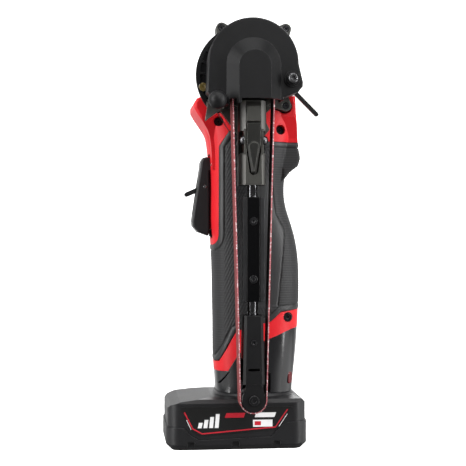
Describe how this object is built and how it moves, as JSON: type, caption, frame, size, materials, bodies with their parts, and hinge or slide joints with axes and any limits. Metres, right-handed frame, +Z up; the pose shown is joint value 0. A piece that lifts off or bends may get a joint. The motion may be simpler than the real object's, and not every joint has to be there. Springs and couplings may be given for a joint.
{
  "type": "cordless band file",
  "caption": "Cordless band file: narrow abrasive belt on a swinging arm folded beside an upright handle, with domed belt cover, paddle switch and slide-in battery foot.",
  "frame": {"origin": "on the ground plane, which is the flat underside of the battery foot, straight below the drive spindle", "axes": "+Z up along the handle, +X to the palm side, -X to the paddle side, -Y to the belt side along the spindle"},
  "size_m": [0.0919, 0.0889, 0.2568],
  "materials": {
    "red_plastic": "fine moulded texture, slightly glossy",
    "grip_rubber": "woven grip texture",
    "dark_plastic": "smooth moulded",
    "black_plastic": "fine matte texture",
    "screw_steel": "black oxide",
    "bearing_steel": "ground",
    "gear_steel": "cut",
    "cast_metal": "dark phosphated casting",
    "black_coat": "satin black coat",
    "lamination": "stacked laminations",
    "copper": "enamelled copper wire",
    "brass": "yellow plated",
    "board_green": "solder mask",
    "roller_rubber": "ground rubber",
    "abrasive": "coated grit on cloth",
    "cell_wrap": "shrink wrap",
    "label_print": "printed film"
  },
  "bodies": {
    "tool_body": {"front_shell": "red_plastic", "rear_shell": "red_plastic", "front_grip": "grip_rubber", "rear_grip": "grip_rubber", "battery_collar": "dark_plastic", "shell_screws": "screw_steel", "gear_case": "cast_metal", "bearing_plate": "cast_metal", "ear_screws": "screw_steel", "bearing_outers": "bearing_steel", "stator_core": "lamination", "stator_coils": "copper", "motor_mount": "dark_plastic", "neck_circlip": "bearing_steel", "paddle_pin": "bearing_steel", "switch_module": "dark_plastic", "control_board": "board_green", "terminal_block": "dark_plastic"},
    "rotor_body": {"rotor_core": "lamination", "motor_shaft": "bearing_steel", "cooling_fan": "dark_plastic", "pinion_gear": "gear_steel", "motor_bearing_inners": "bearing_steel"},
    "spindle_body": {"bevel_gear": "gear_steel", "output_spindle": "bearing_steel", "drive_pulley": "roller_rubber", "pulley_screw": "screw_steel", "spindle_bearing_inners": "bearing_steel"},
    "guard_body": {"spark_guard": "black_coat", "guard_bolt": "brass"},
    "guard_lever_body": {"guard_lever": "black_coat"},
    "arm_body": {"arm_bracket": "cast_metal", "belt_cover": "black_coat", "cover_screw": "screw_steel", "lever_pin": "bearing_steel", "tension_spring": "bearing_steel", "angle_pointer": "cast_metal", "abrasive_belt": "abrasive"},
    "knob_body": {"tracking_knob": "black_plastic"},
    "tension_lever_body": {"tension_lever": "cast_metal"},
    "slider_body": {"slide_rod": "gear_steel", "platen_block": "black_coat", "platen": "gear_steel", "platen_screws": "screw_steel", "roller_yoke": "black_coat", "yoke_pin": "screw_steel", "roller_carrier": "cast_metal", "roller_axle": "screw_steel"},
    "roller_body": {"idler_roller": "gear_steel"},
    "paddle_body": {"paddle": "black_plastic", "lock_pin": "bearing_steel"},
    "lock_lever_body": {"lock_lever": "black_plastic"},
    "plunger_body": {"switch_plunger": "black_plastic"},
    "battery_body": {"battery_lower": "black_plastic", "battery_upper": "black_plastic", "battery_cells": "cell_wrap", "battery_label": "label_print", "battery_contacts": "brass"},
    "latch_front_body": {"latch_button_front": "dark_plastic"},
    "latch_rear_body": {"latch_button_rear": "dark_plastic"}
  },
  "joints": [
    {"name": "spindle_spin", "type": "hinge", "parent": "tool_body", "child": "spindle_body", "pos_m": [0, 0, 0.2284], "axis": [0, 1, 0], "continuous": true},
    {"name": "motor_spin", "type": "hinge", "parent": "tool_body", "child": "rotor_body", "pos_m": [0, 0, 0.16], "axis": [0, 0, 1], "continuous": true},
    {"name": "arm_swing", "type": "hinge", "parent": "tool_body", "child": "arm_body", "pos_m": [0, 0, 0.2284], "axis": [0, 1, 0], "range_deg": [-90, 180]},
    {"name": "guard_swing", "type": "hinge", "parent": "tool_body", "child": "guard_body", "pos_m": [0, 0, 0.2284], "axis": [0, 1, 0], "range_deg": [-30, 60]},
    {"name": "guard_lever_swing", "type": "hinge", "parent": "tool_body", "child": "guard_lever_body", "pos_m": [0.0265, -0.0266, 0.2176], "axis": [0, 1, 0], "range_deg": [-25, 25]},
    {"name": "tension_slide", "type": "slide", "parent": "arm_body", "child": "slider_body", "axis": [0, 0, 1], "range_m": [0, 0.006], "deforming": ["tension_spring"]},
    {"name": "tension_lever_rock", "type": "hinge", "parent": "arm_body", "child": "tension_lever_body", "pos_m": [0, -0.0446, 0.1843], "axis": [-1, 0, 0], "range_deg": [0, 6]},
    {"name": "tracking_turn", "type": "hinge", "parent": "arm_body", "child": "knob_body", "pos_m": [-0.0219, -0.048, 0.2068], "axis": [0, 1, 0], "range_deg": [-180, 180]},
    {"name": "idler_spin", "type": "hinge", "parent": "slider_body", "child": "roller_body", "pos_m": [0, -0.039, 0.0322], "axis": [0, 1, 0], "continuous": true},
    {"name": "paddle_press", "type": "hinge", "parent": "tool_body", "child": "paddle_body", "pos_m": [-0.0206, 0, 0.172], "axis": [0, -1, 0], "range_deg": [0, 6]},
    {"name": "lock_lever_swing", "type": "hinge", "parent": "paddle_body", "child": "lock_lever_body", "pos_m": [-0.0256, 0, 0.1587], "axis": [0, -1, 0], "range_deg": [0, 35]},
    {"name": "plunger_slide", "type": "slide", "parent": "tool_body", "child": "plunger_body", "axis": [1, 0, 0], "range_m": [0, 0.0047]},
    {"name": "battery_slide", "type": "slide", "parent": "tool_body", "child": "battery_body", "axis": [0, 0, -1], "range_m": [0, 0.07]},
    {"name": "latch_front_press", "type": "slide", "parent": "battery_body", "child": "latch_front_body", "axis": [0, 1, 0], "range_m": [0, 0.0015]},
    {"name": "latch_rear_press", "type": "slide", "parent": "battery_body", "child": "latch_rear_body", "axis": [0, -1, 0], "range_m": [0, 0.0015]}
  ],
  "couplings": [
    {"joint": "motor_spin", "follows": "spindle_spin", "ratio": -1.75},
    {"joint": "idler_spin", "follows": "spindle_spin", "ratio": 1.6494},
    {"joint": "plunger_slide", "follows": "paddle_press", "m_per_rad": 0.0435}
  ]
}
